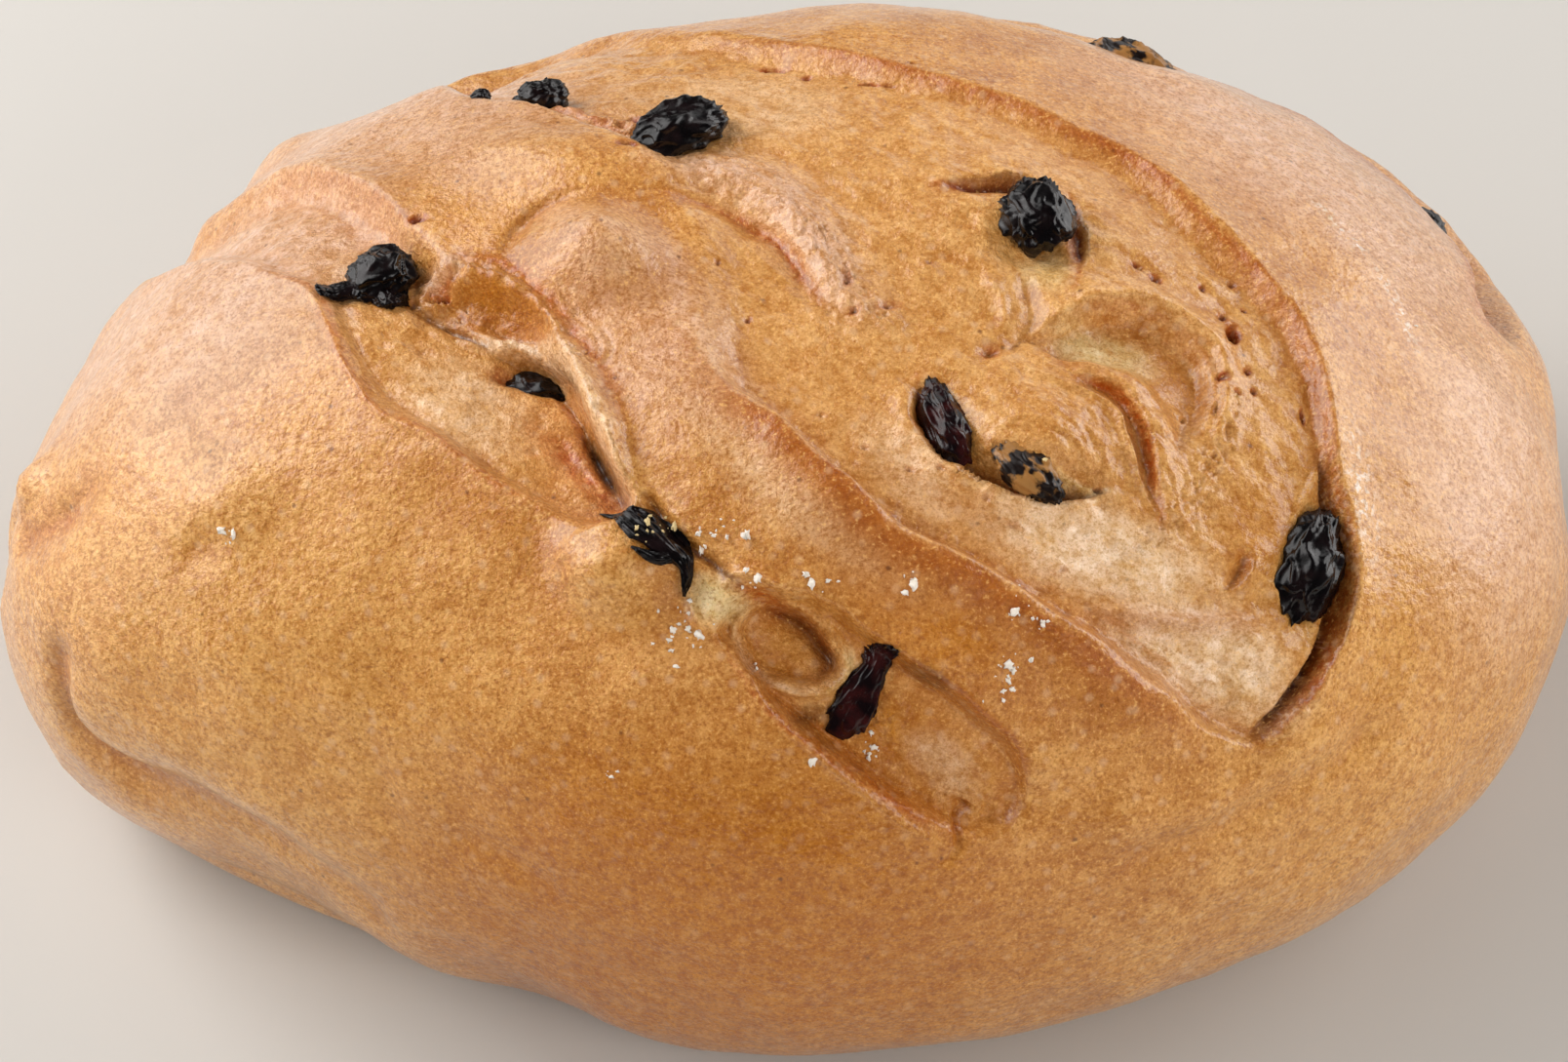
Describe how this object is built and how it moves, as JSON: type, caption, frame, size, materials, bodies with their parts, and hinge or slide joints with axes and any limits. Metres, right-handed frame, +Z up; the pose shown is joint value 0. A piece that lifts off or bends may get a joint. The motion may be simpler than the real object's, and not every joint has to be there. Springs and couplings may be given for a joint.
{
  "type": "easter raisin bread",
  "caption": "Hand-shaped oval sweet loaf, domed, with slanting slashes, a coiled fold in the widest one and raisins baked into the browned crust.",
  "frame": {"origin": "middle of the flat underside, in the plane the loaf rests on", "axes": "+Z up; +X along the loaf's length towards its broad end; +Y across, away from the side shown in the picture"},
  "size_m": [0.2098, 0.1535, 0.0913],
  "materials": {
    "crust": "baked crust, golden brown, softly shining",
    "raisin_skin": "dark wrinkled raisin skin, glossy"
  },
  "bodies": {
    "root": {"loaf": "crust", "raisin_01": "raisin_skin", "raisin_02": "raisin_skin", "raisin_03": "raisin_skin", "raisin_04": "raisin_skin", "raisin_05": "raisin_skin", "raisin_06": "raisin_skin", "raisin_07": "raisin_skin", "raisin_08": "raisin_skin", "raisin_09": "raisin_skin", "raisin_10": "raisin_skin", "raisin_11": "raisin_skin", "raisin_12": "raisin_skin", "raisin_13": "raisin_skin"}
  },
  "joints": []
}
